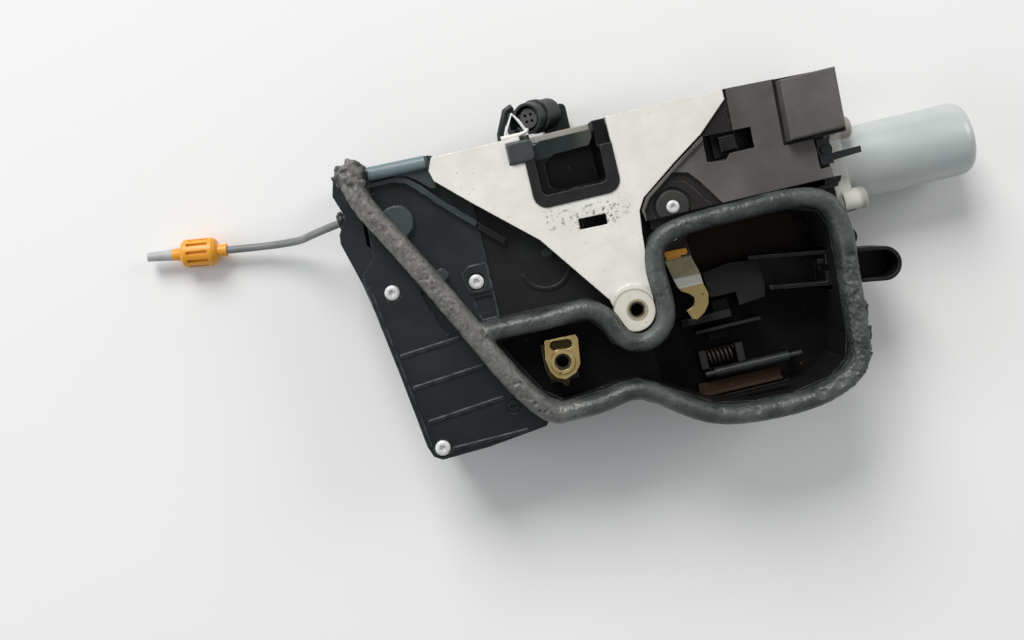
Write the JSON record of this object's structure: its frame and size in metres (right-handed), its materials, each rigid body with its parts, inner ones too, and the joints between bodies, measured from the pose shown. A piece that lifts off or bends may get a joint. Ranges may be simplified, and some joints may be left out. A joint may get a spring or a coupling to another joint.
{
  "type": "door latch actuator",
  "caption": "Vehicle door latch with fishmouth plate, sealed lever cavity, drive motor, child lock slider and release cable.",
  "frame": {"origin": "centre of the threaded boss hole in the outer face of the latch plate", "axes": "+Z out of the plate face, +X towards the drive motor, +Y towards the striker entrance"},
  "size_m": [0.3203, 0.1336, 0.054],
  "materials": {
    "plate_steel": "cream silver zinc-rich coat, satin",
    "bare_steel": "bright",
    "black_plastic": "satin black",
    "faded_plastic": "faded brown black",
    "pad_rubber": "satin",
    "seal_foam": "scuffed foam seal",
    "seal_dusty": "dusty worn foam strip",
    "yellow_zinc": "yellow passivated zinc",
    "amber_plastic": "amber",
    "motor_grey": "matt grey blue",
    "cream_plastic": "cream",
    "grey_plastic": "grey",
    "cable_grey": "grey sheath"
  },
  "bodies": {
    "base": {"latch_plate": "plate_steel", "thread_collar": "bare_steel", "mouth_liner": "black_plastic", "striker_bumper": "pad_rubber", "claw_pin": "bare_steel", "claw_spring": "bare_steel", "pawl_pin": "bare_steel", "housing_base": "black_plastic", "main_housing": "black_plastic", "cavity_wall": "black_plastic", "left_housing": "black_plastic", "left_cover": "black_plastic", "cover_screws": "bare_steel", "corner_screw": "bare_steel", "fixing_nut": "yellow_zinc", "nut_plate": "yellow_zinc", "nut_seat": "black_plastic", "seal_loop": "seal_foam", "seal_strip": "seal_dusty", "actuator_housing": "faded_plastic", "actuator_cover": "faded_plastic", "rivet_disc": "faded_plastic", "disc_rivet": "bare_steel", "housing_cap": "faded_plastic", "motor_carrier": "cream_plastic", "carrier_pegs": "cream_plastic", "motor_can": "motor_grey", "wheel_pin": "bare_steel", "lock_pin": "bare_steel", "slider_guide": "black_plastic", "release_pin": "bare_steel", "return_spring": "bare_steel", "guide_rod": "bare_steel", "cable_duct": "black_plastic", "plug_body": "black_plastic", "plug_insert": "grey_plastic", "plug_clip": "cream_plastic", "cable_gland": "black_plastic", "release_cable": "cable_grey", "cable_coupling": "amber_plastic", "cable_tip": "grey_plastic", "lever_pin": "bare_steel"},
    "claw": {"claw": "bare_steel"},
    "pawl": {"pawl": "bare_steel"},
    "release_lever": {"release_hook": "yellow_zinc", "release_tab": "amber_plastic"},
    "lock_lever": {"lock_lever": "black_plastic"},
    "child_lock": {"child_lock_slider": "black_plastic"},
    "rotor": {"motor_rotor": "bare_steel"},
    "wheel": {"drive_wheel": "cream_plastic"},
    "cable_lever": {"cable_lever": "black_plastic"}
  },
  "joints": [
    {"name": "claw_turn", "type": "hinge", "parent": "base", "child": "claw", "pos_m": [-0.018, 0.0375, -0.007], "axis": [0, 0, 1], "range_deg": [0, 46]},
    {"name": "pawl_turn", "type": "hinge", "parent": "base", "child": "pawl", "pos_m": [0.004, 0.035, -0.007], "axis": [0, 0, 1], "range_deg": [-16, 0]},
    {"name": "release_turn", "type": "hinge", "parent": "base", "child": "release_lever", "pos_m": [0.0198, 0.0226, -0.012], "axis": [0, 0, 1], "range_deg": [0, 14]},
    {"name": "lock_turn", "type": "hinge", "parent": "base", "child": "lock_lever", "pos_m": [0.0794, 0.0404, -0.008], "axis": [0, 0, 1], "range_deg": [-8, 8]},
    {"name": "child_lock_slide", "type": "slide", "parent": "base", "child": "child_lock", "axis": [1, 0, 0], "range_m": [0, 0.005]},
    {"name": "motor_spin", "type": "hinge", "parent": "base", "child": "rotor", "pos_m": [0.08, 0.033, -0.032], "axis": [1, 0, 0], "continuous": true},
    {"name": "wheel_turn", "type": "hinge", "parent": "base", "child": "wheel", "pos_m": [0.062, 0.0502, -0.032], "axis": [0, 0, 1], "continuous": true},
    {"name": "cable_lever_turn", "type": "hinge", "parent": "base", "child": "cable_lever", "pos_m": [-0.0772, 0.0503, -0.016], "axis": [0, 0, 1], "range_deg": [-12, 12]}
  ],
  "couplings": [
    {"joint": "wheel_turn", "follows": "motor_spin", "ratio": -0.038462}
  ]
}
